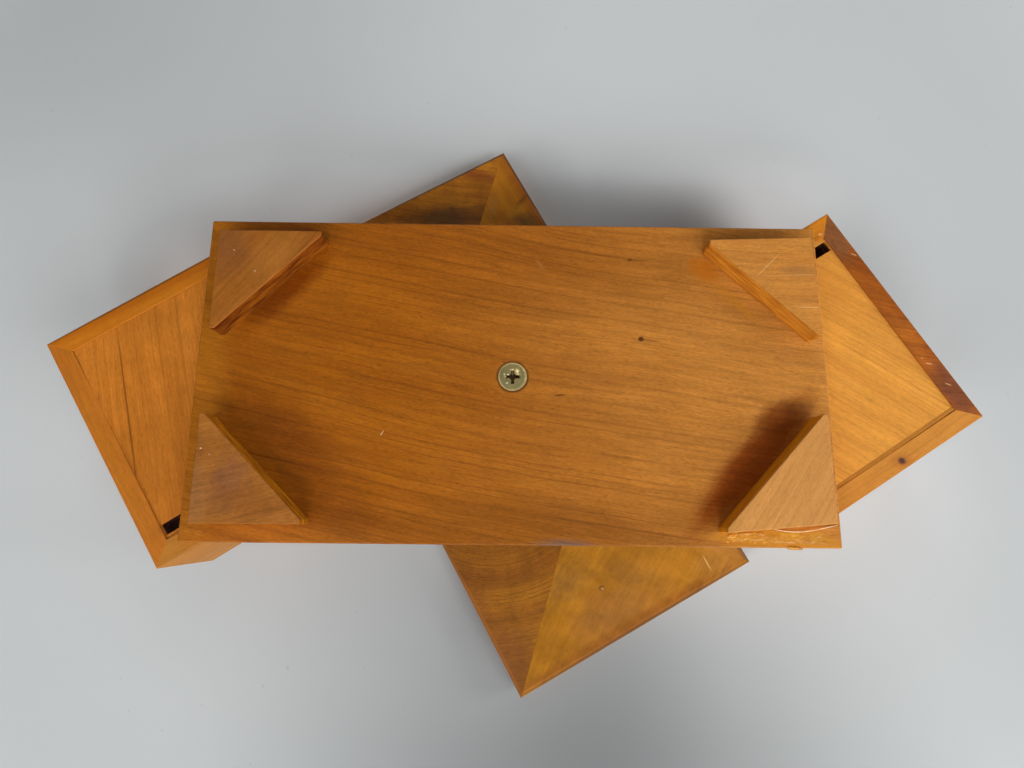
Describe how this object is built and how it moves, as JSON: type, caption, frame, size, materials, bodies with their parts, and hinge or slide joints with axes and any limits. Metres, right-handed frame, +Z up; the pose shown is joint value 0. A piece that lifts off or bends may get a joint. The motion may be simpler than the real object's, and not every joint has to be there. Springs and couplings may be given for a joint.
{
  "type": "wooden storage box with swing-out trays",
  "caption": "Low box on corner feet: turning the lid about the centre of the base swings a tray out from under it at either end.",
  "frame": {"origin": "on the axis of the pivot screw, in the plane of the feet's undersides", "axes": "+X along the base board's length, +Y across it, +Z up, from the feet to the lid"},
  "size_m": [0.3348, 0.2332, 0.0691],
  "materials": {
    "base_wood": "thin satin oil on one wide board, slight handling marks",
    "foot_wood": "sawn offcuts of several boards, matt",
    "peg_wood": "plain dowel, matt",
    "screw_brass": "plain, a little dulled",
    "pin_steel": "plain drawn pin",
    "lid_dark_wood": "satin oil",
    "lid_pale_wood": "satin oil",
    "tray_bottom_wood": "satin oil, long straight grain",
    "tray_dark_wood": "satin oil on a dark board",
    "tray_wood": "satin oil"
  },
  "bodies": {
    "base": {"base_board": "base_wood", "front_left_foot": "foot_wood", "front_right_foot": "foot_wood", "back_left_foot": "foot_wood", "back_right_foot": "foot_wood", "left_guide_peg": "peg_wood", "right_guide_peg": "peg_wood"},
    "lid": {"lid_front_board": "lid_pale_wood", "lid_back_board": "lid_dark_wood", "lid_left_board": "lid_dark_wood", "lid_right_board": "lid_pale_wood", "centre_post": "peg_wood", "pivot_screw": "screw_brass", "left_hinge_pin": "pin_steel", "right_hinge_pin": "pin_steel"},
    "left_tray": {"left_tray_slot_wall": "tray_wood", "left_tray_plain_wall": "tray_wood", "left_tray_outer_wall": "tray_wood", "left_tray_inner_wall": "tray_wood", "left_tray_bottom": "tray_bottom_wood"},
    "right_tray": {"right_tray_slot_wall": "tray_wood", "right_tray_plain_wall": "tray_wood", "right_tray_outer_wall": "tray_dark_wood", "right_tray_inner_wall": "tray_wood", "right_tray_bottom": "tray_bottom_wood"}
  },
  "joints": [
    {"name": "lid_swivel", "type": "hinge", "parent": "base", "child": "lid", "pos_m": [0, 0, 0.0122], "axis": [0, 0, 1], "range_deg": [-60.6, 0]},
    {"name": "left_tray_swing", "type": "hinge", "parent": "lid", "child": "left_tray", "pos_m": [-0.04091, 0.01215, 0.0468], "axis": [0, 0, 1], "range_deg": [0, 92.9]},
    {"name": "right_tray_swing", "type": "hinge", "parent": "lid", "child": "right_tray", "pos_m": [0.04091, -0.01215, 0.0468], "axis": [0, 0, 1], "range_deg": [0, 92.9]}
  ],
  "couplings": [
    {"joint": "left_tray_swing", "follows": "lid_swivel", "ratio": -1.533},
    {"joint": "right_tray_swing", "follows": "lid_swivel", "ratio": -1.533}
  ]
}
